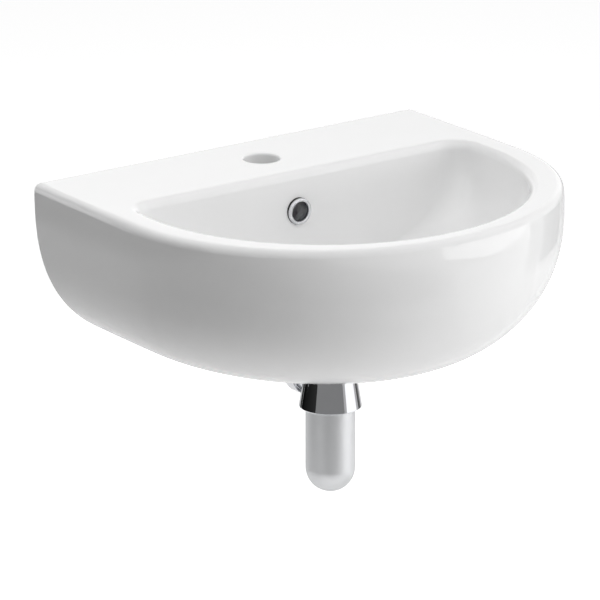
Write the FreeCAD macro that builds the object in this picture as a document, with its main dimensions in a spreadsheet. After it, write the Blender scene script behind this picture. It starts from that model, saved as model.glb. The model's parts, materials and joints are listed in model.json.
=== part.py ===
"""Wall-hung cloakroom basin with a click plug waste and a bottle trap.

Frame: X runs along the wall, the front of the basin looks along -Y and +Z is up.
The origin is midway between the two wall fixing holes, on the wall face. Millimetres.
"""
import FreeCAD, Part
import math
import os
import re

import Sketcher

Vector = FreeCAD.Vector

# Driving dimensions, one cell each in the sheet.
SIZES = {
    # Outer form of the ceramic
    "basin_width": 450,
    "side_bulge": 2.3,
    "basin_depth": 386.5,
    "basin_height": 168,
    "belly_drop": 52,
    "rim_lean": 9.2,
    "side_tuck": 18.2,
    "front_tuck": 7.4,
    "fixing_drop": 65,
    "side_run": 168,
    "corner_round": 10,
    "wall_run": 30,
    "rim_round": 7.7,
    "wall_edge": 1,
    # Ceramic walls
    "skin": 8,
    "back_skin": 12,
    "deck_skin": 15,
    # Bowl
    "side_rim": 31,
    "front_rim": 24.8,
    "bowl_back": 115,
    "bowl_centre": 162,
    "bowl_depth": 100,
    "bowl_tuck": 2,
    "bowl_round": 8,
    "lip_run": 15,
    # Holes and cut-outs
    "tap_reach": 56.5,
    "tap_bore": 35,
    "tap_round": 2,
    "fixing_spacing": 280,
    "fixing_bore": 14,
    "access_width": 160,
    "access_rise": 80,
    "access_round": 15,
    # Overflow path cast into the ceramic
    "overflow_drop": 38.2,
    "overflow_bore": 22.4,
    "duct_width": 30,
    "duct_depth": 14,
    "duct_skin": 8,
    # Waste boss under the bowl floor
    "waste_reach": 169,
    "waste_bore": 45,
    "boss_width": 76,
    "boss_height": 34,
    "chamber_width": 60,
    "chamber_drop": 12,
    "chamber_height": 12,
    "recess_width": 67,
    "recess_depth": 4,
    # Overflow ring
    "ring_width": 26,
    "ring_mouth": 19.4,
    "ring_lip": 6,
    "ring_sleeve": 9,
    "ring_wall": 1.2,
    "ring_edge": 1,
    # Slotted waste
    "flange_width": 64,
    "flange_lip": 2.5,
    "flange_edge": 1,
    "tail_width": 42,
    "tail_mouth": 38,
    "tail_thread": 13.5,
    "slot_width": 9,
    "hub_width": 27,
    "hub_height": 12,
    "hub_drop": 18,
    "spoke_width": 4,
    "top_washer_width": 60,
    "top_washer_height": 1.5,
    "bottom_washer_width": 64,
    "bottom_washer_height": 4,
    "backnut_width": 60,
    "backnut_height": 9,
    # Click plug
    "plug_width": 60,
    "plug_crown": 4,
    "plug_edge": 2.5,
    "plug_neck": 32,
    "plug_neck_height": 8,
    "plug_bore_height": 6,
    "plug_lift": 9,
    "seal_width": 37.2,
    "seal_height": 3,
    "neck_foot": 2,
    "spindle_width": 8,
    "collar_width": 14,
    "collar_height": 3,
    "cartridge_width": 20,
    "cartridge_bore": 15,
    "cartridge_length": 42,
    "cartridge_wall": 3,
    "cartridge_lip": 2,
    "cartridge_rim": 24,
    "spring_width": 13.6,
    "spring_wire": 1.4,
    # Trap inlet
    "inlet_nut_width": 50,
    "inlet_nut_height": 21,
    "nut_shoulder": 3,
    "nut_edge": 1.2,
    "inlet_washer_height": 3,
    "dip_width": 32,
    "dip_wall": 1.5,
    "dip_flange_width": 40,
    "dip_flange_height": 3,
    "dip_length": 103,
    # Trap head
    "head_gap": 1,
    "head_top_width": 44.4,
    "head_foot_width": 60.6,
    "head_height": 50,
    "head_plate": 3,
    "head_edge": 1.5,
    "head_chamber_width": 39,
    "outlet_drop": 22.6,
    "branch_width": 40,
    "branch_length": 38,
    "branch_bore": 29,
    "socket_bore": 32.4,
    "socket_depth": 14,
    # Trap cup
    "cup_width": 48,
    "cup_wall": 2,
    "cup_socket_depth": 20,
    "cup_seal_height": 1.4,
    "cup_seal_wall": 3,
    "cup_hang": 61,
    # Outlet compression joint
    "outlet_nut_width": 48,
    "outlet_nut_length": 14.5,
    "outlet_seal_length": 3,
    "slip_ring_length": 1.5,
    "outlet_shoulder": 2.5,
    "outlet_mouth": 33.2,
    # Clearances
    "thread_gap": 0.15,
    "running_gap": 0.3,
    "slide_gap": 0.08,
    "overrun": 5,
}

# Places worked out from the driving dimensions; each is a height or a distance from the wall.
PLACES = {
    "rim_level": "fixing_drop",
    "foot_level": "rim_level - basin_height",
    "floor_level": "rim_level - bowl_depth",
    "bowl_half": "basin_width / 2 - side_rim",
    "bowl_reach": "basin_depth - rim_lean - front_rim - bowl_centre",
    "recess_level": "floor_level - recess_depth",
    "boss_level": "floor_level - boss_height",
    "chamber_level": "floor_level - chamber_drop - chamber_height",
    "flange_level": "recess_level + top_washer_height",
    "flange_top": "flange_level + flange_lip",
    "bottom_washer_level": "boss_level - bottom_washer_height",
    "backnut_level": "bottom_washer_level - backnut_height",
    "tail_level": "backnut_level - tail_thread",
    "hub_level": "flange_top - hub_drop - hub_height",
    "cartridge_top": "hub_level + hub_height + cartridge_lip",
    "cartridge_level": "cartridge_top - cartridge_length",
    "collar_top": "cartridge_top - cartridge_wall - plug_lift - running_gap",
    "plug_level": "flange_top + running_gap",
    "inlet_washer_level": "tail_level - inlet_washer_height",
    "dip_flange_level": "inlet_washer_level - dip_flange_height",
    "inlet_nut_level": "dip_flange_level - nut_shoulder",
    "head_top": "inlet_nut_level - head_gap",
    "head_level": "head_top - head_height",
    "outlet_level": "head_top - outlet_drop",
    "cup_shoulder": "head_level + cup_socket_depth",
    "cup_seal_level": "cup_shoulder - running_gap - cup_seal_height",
    "cup_centre": "head_level - cup_hang",
    "branch_mouth": "waste_reach - branch_length",
    "slip_place": "branch_mouth - outlet_seal_length",
    "outlet_shoulder_place": "slip_place - slip_ring_length",
    "outlet_end": "outlet_shoulder_place - outlet_shoulder",
    "overflow_level": "rim_level - overflow_drop",
    "ring_seat": "bowl_back",
    "duct_front": "bowl_back - skin",
    "duct_rear": "duct_front - duct_depth",
    "joint_place": "(tap_reach + tap_bore / 2 + tap_round + duct_rear - duct_skin) / 2",
}

# Shape of the ceramic. The full and bend values are the powers of its round profiles.
OUTER_LEVEL_SHARES = (0.0, 0.16, 0.33, 0.5, 0.65, 0.78, 0.88, 0.95, 1.0)
SIDE_FULL, SIDE_BEND = 2.5, 2.75
FRONT_FULL, FRONT_BEND = 5.0, 1.85
RUN_TAPER_SHARE = 0.25
BOWL_LEVEL_SHARES = (0.0, 0.2, 0.4, 0.58, 0.73, 0.85, 0.93, 0.98, 1.0)
BOWL_FULL, BOWL_BEND = 2.2, 3.5
BOWL_BACK_SHARE, BOWL_BACK_BEND = 0.29, 2
BOWL_CORNER_SHARES = (0.5, 0.72)
JOINT_SIDES = 12
END_SHARE = 0.5

SPOKES = 3
BACKNUT_SIDES = 6
SPRING_TURNS = 6
CONIC_WEIGHT = math.sqrt(0.5)

doc = FreeCAD.newDocument("cloakroom_basin")
sheet = doc.addObject("Spreadsheet::Sheet", "Sizes")
for row, (name, number) in enumerate(SIZES.items(), start=1):
    sheet.set(f"A{row}", name)
    sheet.set(f"B{row}", str(number))
    sheet.setAlias(f"B{row}", name)
doc.recompute()


def spelled(text):
    """Return an expression with every size and place spelled out for the sheet."""
    def swap(match):
        word = match.group(0)
        if word in SIZES:
            return f"Sizes.{word}"
        if word in PLACES:
            return f"({spelled(PLACES[word])})"
        return word
    return re.sub(r"[a-z_]+", swap, text)


def value(text):
    """Return the number that an expression of sizes and places comes to."""
    return float(sheet.evalExpression(spelled(text)))


def bind(item, prop, text):
    """Bind one property of an object to the sheet."""
    item.setExpression(prop, spelled(text))


TURNS = {
    "up": FreeCAD.Rotation(),
    "back": FreeCAD.Rotation(Vector(1, 0, 0), -90),
    "front": FreeCAD.Rotation(Vector(1, 0, 0), 90),
}


def place(item, seat, along="up"):
    """Set an object's axis direction and bind its place to the sheet."""
    item.Placement = FreeCAD.Placement(Vector(), TURNS[along])
    for axis, text in zip("xyz", seat):
        bind(item, f".Placement.Base.{axis}", text)


def primitive(kind, name, seat, along="up", **sizes):
    """Add a Part primitive whose sizes and place follow the sheet."""
    item = doc.addObject(f"Part::{kind}", name)
    for prop, text in sizes.items():
        bind(item, prop, text)
    place(item, seat, along)
    return item


def block(name, width, near, far, low, high):
    """Add a box centred on the basin's middle plane, between two distances from the wall."""
    return primitive(
        "Box", name, (f"-({width}) / 2", f"-({far})", low),
        Length=width, Width=f"({far}) - ({near})", Height=f"({high}) - ({low})",
    )


def fused(name, *items):
    """Fuse objects into one."""
    item = doc.addObject("Part::MultiFuse", name)
    item.Shapes = list(items)
    return item


def cut(name, base, *tools):
    """Cut the tools, fused where there are several, from a base."""
    item = doc.addObject("Part::Cut", name)
    item.Base = base
    item.Tool = tools[0] if len(tools) == 1 else fused(f"{name}_tools", *tools)
    return item


def common(name, base, tool):
    """Keep what two objects share."""
    item = doc.addObject("Part::Common", name)
    item.Base = base
    item.Tool = tool
    return item


def rounded(name, base, radii):
    """Fillet the edges of a base; radii maps an edge's number to its two end radii."""
    item = doc.addObject("Part::Fillet", name)
    item.Base = base
    item.Edges = [(number, first, last) for number, (first, last) in radii.items()]
    return item


def axis_arc(start, end):
    """Return the arc between two profile points, centred on the turning axis, and its end order."""
    (radius_a, height_a), (radius_b, height_b) = start, end
    squares = radius_b**2 + height_b**2 - radius_a**2 - height_a**2
    centre = squares / (2 * (height_b - height_a))
    angle_a = math.atan2(height_a - centre, radius_a)
    angle_b = math.atan2(height_b - centre, radius_b)
    circle = Part.Circle(Vector(0, centre), Vector(0, 0, 1), math.hypot(radius_a, height_a - centre))
    order = (1, 2) if angle_a < angle_b else (2, 1)
    return Part.ArcOfCircle(circle, min(angle_a, angle_b), max(angle_a, angle_b)), order


def draw_profile(sketch, profile):
    """Draw a closed half profile; a corner marked dome starts an arc centred on the axis."""
    points = [(value(corner[0]), value(corner[1])) for corner in profile]
    orders = []
    for index, corner in enumerate(profile):
        start, end = points[index], points[(index + 1) % len(points)]
        if "dome" in corner:
            edge, order = axis_arc(start, end)
        else:
            edge, order = Part.LineSegment(Vector(*start), Vector(*end)), (1, 2)
        sketch.addGeometry(edge)
        orders.append(order)
    for index, corner in enumerate(profile):
        following = (index + 1) % len(profile)
        sketch.addConstraint(Sketcher.Constraint(
            "Coincident", index, orders[index][1], following, orders[following][0]))
        if "dome" in corner:
            sketch.addConstraint(Sketcher.Constraint("PointOnObject", index, 3, -2))
        for kind, text, axis in (("DistanceX", corner[0], -2), ("DistanceY", corner[1], -1)):
            vertex = (index, orders[index][0])
            if text == "0":
                sketch.addConstraint(Sketcher.Constraint("PointOnObject", *vertex, axis))
            else:
                number = sketch.addConstraint(Sketcher.Constraint(kind, -1, 1, *vertex, value(text)))
                bind(sketch, f"Constraints[{number}]", text)


def turned(label, profile, seat, along="up"):
    """Add a body turned from a half profile of (radius, height) corners above its seat."""
    body = doc.addObject("PartDesign::Body", label)
    sketch = body.newObject("Sketcher::SketchObject", f"{label}_profile")
    plane = next(item for item in body.Origin.OriginFeatures if item.Role == "XZ_Plane")
    sketch.AttachmentSupport = (plane, [""])
    sketch.MapMode = "FlatFace"
    draw_profile(sketch, profile)
    turn = body.newObject("PartDesign::Revolution", f"{label}_turn")
    turn.Profile = sketch
    turn.ReferenceAxis = (sketch, ["V_Axis"])
    turn.Angle = 360
    place(body, seat, along)
    return body


def ring(label, outer, inner, height, seat, along="up"):
    """Add a plain turned ring; outer and inner are diameters."""
    corners = (
        (f"({inner}) / 2", "0"),
        (f"({outer}) / 2", "0"),
        (f"({outer}) / 2", height),
        (f"({inner}) / 2", height),
    )
    return turned(label, corners, seat, along)


def conic(start, corner, end, weight=CONIC_WEIGHT):
    """Return a conic from start to end, tangent to the lines that meet at corner.

    The weight makes it a quarter of an ellipse, or a parabola where it is 1.
    """
    curve = Part.BSplineCurve()
    curve.buildFromPolesMultsKnots([start, corner, end], [3, 3], [0, 1], False, 2, [1, weight, 1])
    return curve.toShape()


def d_outline(half, bulge, back, run, front, corner, level):
    """Return a D-shaped wire: straight back, round back corners, bowed sides, half-round front.

    half is half the greatest width, which the sides reach at run, and bulge is what they have less
    at their back ends. back, run and front are distances from the wall.
    """
    middle = (back + corner + run) / 2
    right = ((half - bulge - corner, back), (half - bulge, back), (half - bulge, back + corner),
             (half, middle), (half, run), (half, front), (0, front))
    spots = [Vector(x, -reach, level) for x, reach in right]
    others = [Vector(-x, -reach, level) for x, reach in right]
    edges = [
        Part.LineSegment(others[0], spots[0]).toShape(),
        conic(*spots[0:3]),
        conic(*spots[2:5], 1),
        conic(*spots[4:7]),
        conic(*others[6:3:-1]),
        conic(*others[4:1:-1], 1),
        conic(*others[2::-1]),
    ]
    return Part.Wire(edges)


def outer_outline(drop, inset, back, level):
    """Return the outer form's section at a drop below the rim, drawn in by an inset."""
    below = max(drop, 0)
    height = value("basin_height")
    side_share = (1 - (below / (height + value("side_tuck")))**SIDE_BEND)**(1 / SIDE_FULL)
    belly = value("belly_drop")
    if drop > belly:
        under = (drop - belly) / (height + value("front_tuck") - belly)
        front = value("basin_depth") * (1 - under**FRONT_BEND)**(1 / FRONT_FULL)
    else:
        front = value("basin_depth") - value("rim_lean") * (1 - drop / belly)**2
    half = value("basin_width / 2 + side_bulge") * side_share - inset
    run = value("side_run") * front / value("basin_depth - rim_lean")
    run = run * (1 - RUN_TAPER_SHARE * below / height)
    corner = value("corner_round")
    bulge = value("side_bulge") * side_share * ((run - back - corner) / run)**2
    return d_outline(half, bulge, back, run, front - inset, corner, level)


def outer_loft(inset, back, height):
    """Return the outer form or the space inside its skin, run on a little past rim and foot."""
    rim = value("rim_level")
    full = value("basin_height")
    past = value("front_tuck") * END_SHARE
    drops = [-past] + [full * share for share in OUTER_LEVEL_SHARES] + [full + past]
    wires = [outer_outline(drop, inset, back, rim - drop * height / full) for drop in drops]
    return Part.makeLoft(wires, True)


def outer_form(name):
    """Add the outer form of the basin, flat at rim and foot and run on behind the wall face."""
    form = doc.addObject("Part::Feature", f"{name}_loft")
    form.Shape = outer_loft(0, -value("wall_run"), value("basin_height"))
    slab = block(f"{name}_slab", "basin_width + 2 * side_bulge + 2 * overrun", "-wall_run - overrun",
                 "basin_depth + overrun", "foot_level", "rim_level")
    return common(name, form, slab)


def hollow_form(name):
    """Add the space inside the outer skin and under the deck, open through the foot."""
    skin, back = value("skin"), value("back_skin")
    height = value("basin_height")
    form = doc.addObject("Part::Feature", f"{name}_loft")
    form.Shape = outer_loft(skin, back, height - skin)
    slab = block(f"{name}_slab", "basin_width", "0", "basin_depth",
                 "foot_level + skin", "rim_level - deck_skin")
    mouth = doc.addObject("Part::Feature", f"{name}_mouth")
    rise = value("skin + overrun")
    outline = outer_outline(height, skin, back, value("foot_level - overrun"))
    mouth.Shape = Part.Face(outline).extrude(Vector(0, 0, rise))
    return fused(name, common(f"{name}_upper", form, slab), mouth)


def bowl_form(name, outset):
    """Add the space of the bowl, grown by an outset on its back, sides, front and floor."""
    depth = value("bowl_depth")
    tuck = value("bowl_tuck")
    centre = value("bowl_centre")
    wires = []
    drops = [-value("overrun")] + [depth * share for share in BOWL_LEVEL_SHARES]
    for drop in drops + [depth + tuck * END_SHARE]:
        below = max(drop, 0)
        form_share = (1 - (below / (depth + tuck))**BOWL_BEND)**(1 / BOWL_FULL)
        half = value("bowl_half") * form_share + outset
        front = centre + value("bowl_reach") * form_share + outset
        back_share = 1 - BOWL_BACK_SHARE * (below / depth)**BOWL_BACK_BEND
        reach = value("bowl_centre - bowl_back") * back_share + outset
        first_share, last_share = BOWL_CORNER_SHARES
        corner = reach * (first_share + (last_share - first_share) * below / depth)
        level = value("rim_level") - drop * (depth + outset) / depth
        wires.append(d_outline(half, 0, centre - reach, centre, front, corner, level))
    form = doc.addObject("Part::Feature", f"{name}_loft")
    form.Shape = Part.makeLoft(wires, True)
    slab = block(f"{name}_slab", "basin_width", "0", "basin_depth",
                 f"floor_level - {outset}", "rim_level + overrun")
    return common(name, form, slab)


def joint_form(name):
    """Add the space of the bowl casting: a facetted well through the rim, wider under the deck."""
    half, front = value("bowl_half + lip_run"), value("bowl_reach + lip_run")
    centre, back = value("bowl_centre"), value("joint_place")
    low, rise = value("rim_level - deck_skin - overrun"), value("deck_skin + 2 * overrun")
    turns = [math.pi * index / JOINT_SIDES for index in range(JOINT_SIDES + 1)]
    spots = [(half, back)]
    spots += [(half * math.cos(turn), centre + front * math.sin(turn)) for turn in turns]
    spots += [(-half, back), (half, back)]
    outline = Part.makePolygon([Vector(x, -reach, low) for x, reach in spots])
    well = doc.addObject("Part::Feature", f"{name}_well")
    well.Shape = Part.Face(outline).extrude(Vector(0, 0, rise))
    form = doc.addObject("Part::Feature", f"{name}_loft")
    form.Shape = outer_loft(value("skin + overrun"), value("back_skin + overrun"),
                            value("basin_height - skin"))
    slab = block(f"{name}_slab", "basin_width", "0", "basin_depth",
                 "boss_level - overrun", "rim_level - deck_skin - overrun / 2")
    return fused(name, well, common(f"{name}_lower", form, slab))


def rim_radii(blank):
    """Return the fillet radii of the rim's outer and inner edges."""
    shape = blank.Shape
    level = value("rim_level")
    top = max(
        (face for face in shape.Faces if face.BoundBox.ZMin > level - value("slide_gap")),
        key=lambda face: face.Area,
    )
    radii = {}
    for number, edge in enumerate(shape.Edges, start=1):
        if any(edge.isSame(other) for other in top.Edges):
            outside = any(edge.isSame(other) for other in top.OuterWire.Edges)
            radius = value("rim_round" if outside else "bowl_round")
            radii[number] = (radius, radius)
    return radii


def wall_radii(blank):
    """Return the fillet radii of the wall face's edge, from foot to foot over the deck."""
    shape = blank.Shape
    least = value("foot_level") + value("slide_gap")
    face = next(face for face in shape.Faces if face.BoundBox.YMin > -value("slide_gap"))
    radius = value("wall_edge")
    return {
        number: (radius, radius) for number, edge in enumerate(shape.Edges, start=1)
        if edge.BoundBox.ZMax > least and any(edge.isSame(other) for other in face.Edges)
    }


def make_ceramic():
    """Add the two castings: the outer body with its deck, and the bowl with its overflow path."""
    blank = cut("basin_blank", outer_form("outer_form"), bowl_form("bowl_space", 0))
    doc.recompute()
    rimmed = rounded("basin_rim", blank, rim_radii(blank))
    behind = block("wall_block", "basin_width + 2 * side_bulge + 2 * overrun", "-wall_run - 2 * overrun",
                   "0", "foot_level - overrun", "rim_level + overrun")
    trimmed = cut("basin_back", rimmed, behind)
    doc.recompute()
    edged = rounded("basin_edge", trimmed, wall_radii(trimmed))
    boss = primitive("Cylinder", "boss_skin", ("0", "-waste_reach", "boss_level"),
                     Radius="boss_width / 2", Height="boss_height")
    duct_skins = (
        block("duct_skin", "duct_width + 2 * duct_skin", "duct_rear - duct_skin", "bowl_back",
              "boss_level", "rim_level"),
        block("duct_foot_skin", "duct_width + 2 * duct_skin", "duct_rear - duct_skin", "waste_reach",
              "boss_level", "floor_level"),
    )
    hollow = cut("hollow", hollow_form("hollow_form"), bowl_form("bowl_skin", value("skin")),
                 boss, *duct_skins)
    passages = (
        block("duct", "duct_width", "duct_rear", "duct_front",
              "chamber_level", "overflow_level + overflow_bore / 2"),
        block("duct_foot", "duct_width", "duct_rear", "waste_reach",
              "chamber_level", "chamber_level + chamber_height"),
        primitive("Cylinder", "chamber", ("0", "-waste_reach", "chamber_level"),
                  Radius="chamber_width / 2", Height="chamber_height"),
        primitive("Cylinder", "waste_hole", ("0", "-waste_reach", "boss_level - overrun"),
                  Radius="waste_bore / 2", Height="boss_height + overrun"),
        primitive("Cylinder", "waste_recess", ("0", "-waste_reach", "recess_level"),
                  Radius="recess_width / 2", Height="recess_depth + overrun"),
        primitive("Cylinder", "overflow_hole", ("0", "-ring_seat", "overflow_level"), "back",
                  Radius="overflow_bore / 2", Height="ring_seat - duct_front + duct_depth / 2"),
        primitive("Cylinder", "overflow_seat", ("0", "-ring_seat", "overflow_level"), "front",
                  Radius="ring_width / 2 + running_gap", Height="ring_lip"),
    )
    holes = [primitive("Cylinder", "tap_hole", ("0", "-tap_reach", "rim_level - deck_skin - overrun"),
                       Radius="tap_bore / 2", Height="deck_skin + 2 * overrun")]
    for side, sign in (("left", "-"), ("right", "")):
        holes.append(primitive(
            "Cylinder", f"fixing_hole_{side}",
            (f"{sign}fixing_spacing / 2", "-back_skin - overrun", "0"), "back",
            Radius="fixing_bore / 2", Height="back_skin + 2 * overrun"))
    access = block("access_block", "access_width", "-overrun", "back_skin + overrun",
                   "foot_level - overrun", "foot_level + access_rise")
    doc.recompute()
    top = value("foot_level + access_rise") - value("slide_gap")
    crown = {
        number: (value("access_round"), value("access_round"))
        for number, edge in enumerate(access.Shape.Edges, start=1)
        if edge.BoundBox.ZMin > top and edge.BoundBox.XLength < value("slide_gap")
    }
    shell = cut("basin_shell", edged, hollow, *passages, *holes,
                rounded("access_arch", access, crown))
    doc.recompute()
    rim = value("rim_level") - value("slide_gap")
    lip = {
        number: (value("tap_round"), value("tap_round"))
        for number, edge in enumerate(shell.Shape.Edges, start=1)
        if edge.BoundBox.ZMin > rim and edge.BoundBox.XLength < value("tap_bore + slide_gap")
        and edge.BoundBox.YMin > -value("tap_reach + tap_bore")
        and edge.BoundBox.YMax < -value("tap_reach - tap_bore")
        and isinstance(edge.Curve, Part.Circle)
    }
    casting = rounded("casting", shell, lip)
    joint = joint_form("bowl_joint")
    return [cut("basin_body", casting, joint), common("basin_bowl", casting, joint)]


def make_overflow_ring():
    """Add the chrome ring that lines the overflow hole."""
    corners = (
        ("ring_mouth / 2", "0"),
        ("ring_width / 2 - ring_edge", "0"),
        ("ring_width / 2", "ring_edge"),
        ("ring_width / 2", "ring_lip"),
        ("ring_mouth / 2 + ring_wall", "ring_lip"),
        ("ring_mouth / 2 + ring_wall", "ring_lip + ring_sleeve"),
        ("ring_mouth / 2", "ring_lip + ring_sleeve"),
    )
    return [turned("overflow_ring", corners, ("0", "-ring_seat - ring_lip", "overflow_level"), "back")]


def make_waste():
    """Add the slotted waste, its washers and its backnut."""
    corners = (
        ("tail_mouth / 2", "0"),
        ("tail_width / 2", "0"),
        ("tail_width / 2", "flange_level - tail_level"),
        ("flange_width / 2", "flange_level - tail_level"),
        ("flange_width / 2", "flange_top - tail_level - flange_edge"),
        ("flange_width / 2 - flange_edge", "flange_top - tail_level"),
        ("tail_mouth / 2 + flange_edge", "flange_top - tail_level"),
        ("tail_mouth / 2", "flange_top - tail_level - flange_edge"),
    )
    axis = ("0", "-waste_reach")
    tube = turned("waste_tube", corners, (*axis, "tail_level"))
    hub = primitive("Cylinder", "waste_hub", (*axis, "hub_level"),
                    Radius="hub_width / 2", Height="hub_height")
    spokes = []
    for index in range(SPOKES):
        turn = 360 * index / SPOKES
        spoke = primitive(
            "Box", f"waste_spoke_{index + 1}",
            (f"spoke_width / 2 * sin({turn} deg)",
             f"-waste_reach - spoke_width / 2 * cos({turn} deg)", "hub_level"),
            Length="(tail_mouth + tail_width) / 4", Width="spoke_width", Height="hub_height")
        spoke.Placement.Rotation = FreeCAD.Rotation(Vector(0, 0, 1), turn)
        spokes.append(spoke)
    hub_bore = primitive("Cylinder", "waste_hub_bore", (*axis, "hub_level - overrun"),
                         Radius="cartridge_width / 2 + thread_gap", Height="hub_height + 2 * overrun")
    slots = primitive(
        "Box", "waste_slots",
        ("-tail_width / 2 - overrun", "-waste_reach - slot_width / 2", "chamber_level"),
        Length="tail_width + 2 * overrun", Width="slot_width", Height="chamber_height")
    slot_core = primitive("Cylinder", "waste_slot_core", (*axis, "chamber_level - overrun"),
                          Radius="tail_mouth / 2", Height="chamber_height + 2 * overrun")
    waste = cut("waste_body", fused("waste_frame", tube, hub, *spokes), hub_bore,
                cut("waste_slot_pair", slots, slot_core))
    top = ring("waste_top_washer", "top_washer_width", "tail_width + 2 * running_gap",
               "top_washer_height", (*axis, "recess_level"))
    bottom = ring("waste_bottom_washer", "bottom_washer_width", "tail_width + 2 * thread_gap",
                  "bottom_washer_height", (*axis, "bottom_washer_level"))
    prism = doc.addObject("Part::Prism", "backnut_blank")
    prism.Polygon = BACKNUT_SIDES
    bind(prism, "Circumradius", "backnut_width / 2")
    bind(prism, "Height", "backnut_height")
    place(prism, (*axis, "backnut_level"))
    bore = primitive("Cylinder", "backnut_bore", (*axis, "backnut_level - overrun"),
                     Radius="tail_width / 2 + thread_gap", Height="backnut_height + 2 * overrun")
    return [waste, top, bottom, cut("waste_backnut", prism, bore)]


def make_plug():
    """Add the click plug: cap, seal, spindle, cartridge, its cap and the spring."""
    axis = ("0", "-waste_reach")
    neck_bottom = "plug_level - plug_neck_height"
    cap = turned("plug_cap", (
        ("spindle_width / 2 + slide_gap", "0"),
        ("plug_neck / 2 + neck_foot", "0"),
        ("plug_neck / 2 + neck_foot", "neck_foot"),
        ("plug_neck / 2", "neck_foot"),
        ("plug_neck / 2", "plug_neck_height"),
        ("plug_width / 2", "plug_neck_height"),
        ("plug_width / 2", "plug_neck_height + plug_edge", "dome"),
        ("0", "plug_neck_height + plug_edge + plug_crown"),
        ("0", "plug_bore_height"),
        ("spindle_width / 2 + slide_gap", "plug_bore_height"),
    ), (*axis, neck_bottom))
    seal = ring("plug_seal", "seal_width", "plug_neck + 2 * slide_gap", "seal_height",
                (*axis, f"{neck_bottom} + neck_foot"))
    spindle_low = "collar_top - collar_height"
    spindle_top = f"{neck_bottom} + plug_bore_height"
    spindle = turned("plug_spindle", (
        ("0", "0"),
        ("collar_width / 2", "0"),
        ("collar_width / 2", "collar_height"),
        ("spindle_width / 2", "collar_height"),
        ("spindle_width / 2", f"{spindle_top} - ({spindle_low})"),
        ("0", f"{spindle_top} - ({spindle_low})"),
    ), (*axis, spindle_low))
    cartridge = turned("click_cartridge", (
        ("cartridge_bore / 2", "0"),
        ("cartridge_width / 2", "0"),
        ("cartridge_width / 2", "cartridge_length - cartridge_lip"),
        ("cartridge_rim / 2", "cartridge_length - cartridge_lip"),
        ("cartridge_rim / 2", "cartridge_length"),
        ("spindle_width / 2 + slide_gap", "cartridge_length"),
        ("spindle_width / 2 + slide_gap", "cartridge_length - cartridge_wall"),
        ("cartridge_bore / 2", "cartridge_length - cartridge_wall"),
    ), (*axis, "cartridge_level"))
    end = turned("cartridge_cap", (
        ("0", "0"),
        ("cartridge_width / 2", "0"),
        ("cartridge_width / 2", "cartridge_lip"),
        ("cartridge_bore / 2 - slide_gap", "cartridge_lip"),
        ("cartridge_bore / 2 - slide_gap", "cartridge_lip + cartridge_wall"),
        ("0", "cartridge_lip + cartridge_wall"),
    ), (*axis, "cartridge_level - cartridge_lip"))
    return [cap, seal, spindle, cartridge, end, make_spring()]


def biarc(start, start_way, end, end_way):
    """Return two arcs that leave start and reach end along the given unit directions."""
    span = end - start
    ways = start_way + end_way
    bend = 2 * (1 - start_way.dot(end_way))
    reach = (math.sqrt(span.dot(ways)**2 + bend * span.dot(span)) - span.dot(ways)) / bend
    knees = start + start_way * reach, end - end_way * reach
    middle = (knees[0] + knees[1]) / 2
    arcs = []
    for first, knee, last in ((start, knees[0], middle), (middle, knees[1], end)):
        chord = (first + last) / 2
        turn = (knee - first).getAngle(last - knee)
        crest = chord + (knee - chord) * (math.tan(turn / 4) / math.tan(turn / 2))
        arcs.append(Part.Arc(first, crest, last).toShape())
    return arcs


def make_spring():
    """Add the plug spring, a coil of round wire between the cartridge cap and the spindle collar."""
    wire = value("spring_wire")
    radius = value("(spring_width - spring_wire) / 2")
    low = value("cartridge_level + cartridge_wall + running_gap") + wire / 2
    high = value("collar_top - collar_height - running_gap") - wire / 2
    quarters = 4 * SPRING_TURNS
    pitch = (high - low) / SPRING_TURNS
    gap = pitch - wire
    print(f"plug_spring: least gap between turns {gap:.2f} mm")

    def spot(index):
        angle = index * math.pi / 2
        point = Vector(radius * math.cos(angle), radius * math.sin(angle), low + pitch * index / 4)
        way = Vector(-math.sin(angle), math.cos(angle), pitch / (2 * math.pi * radius))
        return point, way.normalize()

    arcs = []
    for index in range(quarters):
        arcs.extend(biarc(*spot(index), *spot(index + 1)))
    first, way = spot(0)
    section = Part.Wire(Part.Circle(first, way, wire / 2).toShape())
    spring = doc.addObject("Part::Feature", "plug_spring")
    spring.Shape = Part.Wire(arcs).makePipeShell([section], True, False)
    spring.Placement = FreeCAD.Placement(Vector(0, -value("waste_reach"), 0), FreeCAD.Rotation())
    return spring


def make_trap_inlet():
    """Add the nut, washer and dip tube that hang the trap on the waste."""
    axis = ("0", "-waste_reach")
    nut = turned("trap_inlet_nut", (
        ("dip_width / 2 + running_gap", "0"),
        ("inlet_nut_width / 2 - nut_edge", "0"),
        ("inlet_nut_width / 2", "nut_edge"),
        ("inlet_nut_width / 2", "inlet_nut_height - nut_edge"),
        ("inlet_nut_width / 2 - nut_edge", "inlet_nut_height"),
        ("tail_width / 2 + thread_gap", "inlet_nut_height"),
        ("tail_width / 2 + thread_gap", "nut_shoulder"),
        ("dip_width / 2 + running_gap", "nut_shoulder"),
    ), (*axis, "inlet_nut_level"))
    washer = ring("trap_inlet_washer", "dip_flange_width", "dip_width - 2 * dip_wall",
                  "inlet_washer_height", (*axis, "inlet_washer_level"))
    tube = turned("trap_dip_tube", (
        ("dip_width / 2 - dip_wall", "0"),
        ("dip_width / 2", "0"),
        ("dip_width / 2", "dip_length - dip_flange_height"),
        ("dip_flange_width / 2", "dip_length - dip_flange_height"),
        ("dip_flange_width / 2", "dip_length"),
        ("dip_width / 2 - dip_wall", "dip_length"),
    ), (*axis, "inlet_washer_level - dip_length"))
    return [nut, washer, tube]


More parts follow.
